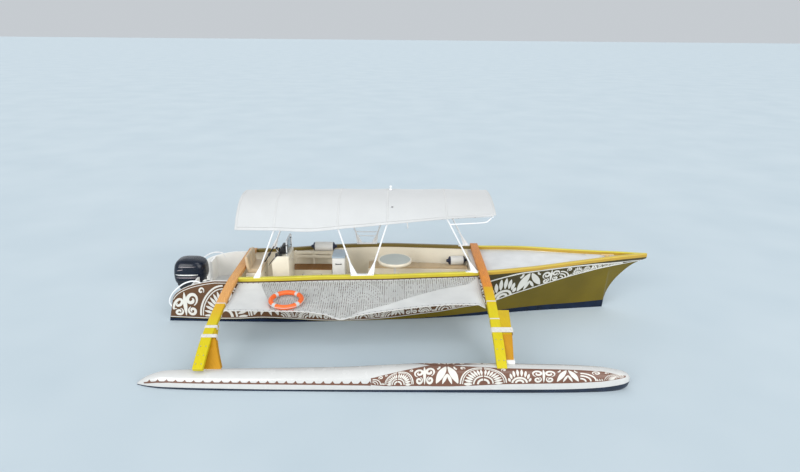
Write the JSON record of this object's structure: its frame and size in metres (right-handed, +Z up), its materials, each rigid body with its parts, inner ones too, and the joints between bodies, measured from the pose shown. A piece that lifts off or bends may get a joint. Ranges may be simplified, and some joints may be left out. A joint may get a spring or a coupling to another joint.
{
  "type": "motor outrigger canoe",
  "caption": "Motor outrigger canoe with one float on two crossbeams, a net between hull and float, a canopy on tubes, a helm console and an outboard motor.",
  "frame": {"origin": "on the waterplane, on the main hull's centreline, halfway along the main hull", "axes": "+X to the bow, +Y to port, +Z up; the float lies to starboard, at -Y"},
  "size_m": [9.83, 4.3017, 3.245],
  "materials": {
    "topsides": "gloss bronze over a navy band, with a white pattern band",
    "white": "gloss",
    "cream": "satin",
    "gold": "painted, satin",
    "varnish": "varnished",
    "tube": "white powder coat",
    "cloth": "coated cloth",
    "net": "woven webbing",
    "rope": "braided",
    "orange": "satin",
    "vinyl": "padded vinyl",
    "motor": "gloss",
    "cowl": "gloss",
    "powerhead": "cast",
    "black": "satin",
    "grey": "satin",
    "smoke": "clear"
  },
  "bodies": {
    "boat": {"hull_shell": "topsides", "well_floor": "white", "aft_bulkhead": "cream", "cockpit_sole": "cream", "fore_bulkhead": "cream", "foredeck": "white", "gunwale_aft_starboard": "gold", "gunwale_aft_port": "gold", "gunwale_fore_starboard": "gold", "gunwale_fore_port": "gold", "stern_rail_starboard": "tube", "stern_rail_port": "tube", "bow_cleat": "varnish", "float": "white", "crossbeam_aft": "varnish", "crossbeam_fore": "varnish", "foot_pad_aft": "white", "foot_pad_fore": "white", "strut_aft": "varnish", "strut_fore": "varnish", "lashing_aft_upper": "rope", "lashing_aft_lower": "rope", "lashing_fore_strut": "rope", "net": "net", "canopy": "cloth", "canopy_frame": "tube", "canopy_leg_aft_starboard": "tube", "canopy_leg_middle_starboard": "tube", "canopy_leg_fore_starboard": "tube", "canopy_leg_aft_port": "tube", "canopy_leg_middle_port": "tube", "canopy_leg_fore_port": "tube", "bench_starboard": "cream", "bench_port": "cream", "bench_cushion_starboard": "vinyl", "bench_cushion_port": "vinyl", "masthead_light": "white", "slat_bench": "cream", "helm_seat_box": "cream", "helm_seat_cushion": "vinyl", "console": "white", "instrument_pod": "black", "console_rail": "tube", "windscreen": "smoke", "cool_box": "white", "table": "cream", "lifebuoy": "orange", "fender_aft": "white", "fender_fore": "white", "outboard_clamp": "motor"},
    "lid": {"cool_box_lid": "grey"},
    "wheel": {"helm_wheel": "black"},
    "tilt_bracket": {"outboard_swivel": "motor"},
    "motor": {"outboard_leg": "motor", "outboard_cowl": "cowl", "outboard_powerhead": "powerhead"},
    "propeller": {"outboard_propeller": "powerhead"}
  },
  "joints": [
    {"name": "cool_box_lid_hinge", "type": "hinge", "parent": "boat", "child": "lid", "pos_m": [-1.535, 0.425, 1.055], "axis": [-1, 0, 0], "range_deg": [0, 95]},
    {"name": "outboard_tilt", "type": "hinge", "parent": "boat", "child": "tilt_bracket", "pos_m": [-4.33, 0, 0.442], "axis": [0, 1, 0], "range_deg": [0, 65]},
    {"name": "outboard_steer", "type": "hinge", "parent": "tilt_bracket", "child": "motor", "pos_m": [-4.52, 0, 0.3], "axis": [0, 0, 1], "range_deg": [-30, 30]},
    {"name": "propeller_spin", "type": "hinge", "parent": "motor", "child": "propeller", "pos_m": [-4.905, 0, -0.43], "axis": [1, 0, 0], "continuous": true},
    {"name": "helm_wheel_turn", "type": "hinge", "parent": "boat", "child": "wheel", "pos_m": [-2.965, 0, 1.12], "axis": [-0.8525, 0, 0.5227], "range_deg": [-540, 540]}
  ],
  "couplings": [
    {"joint": "helm_wheel_turn", "follows": "outboard_steer", "ratio": -18}
  ]
}
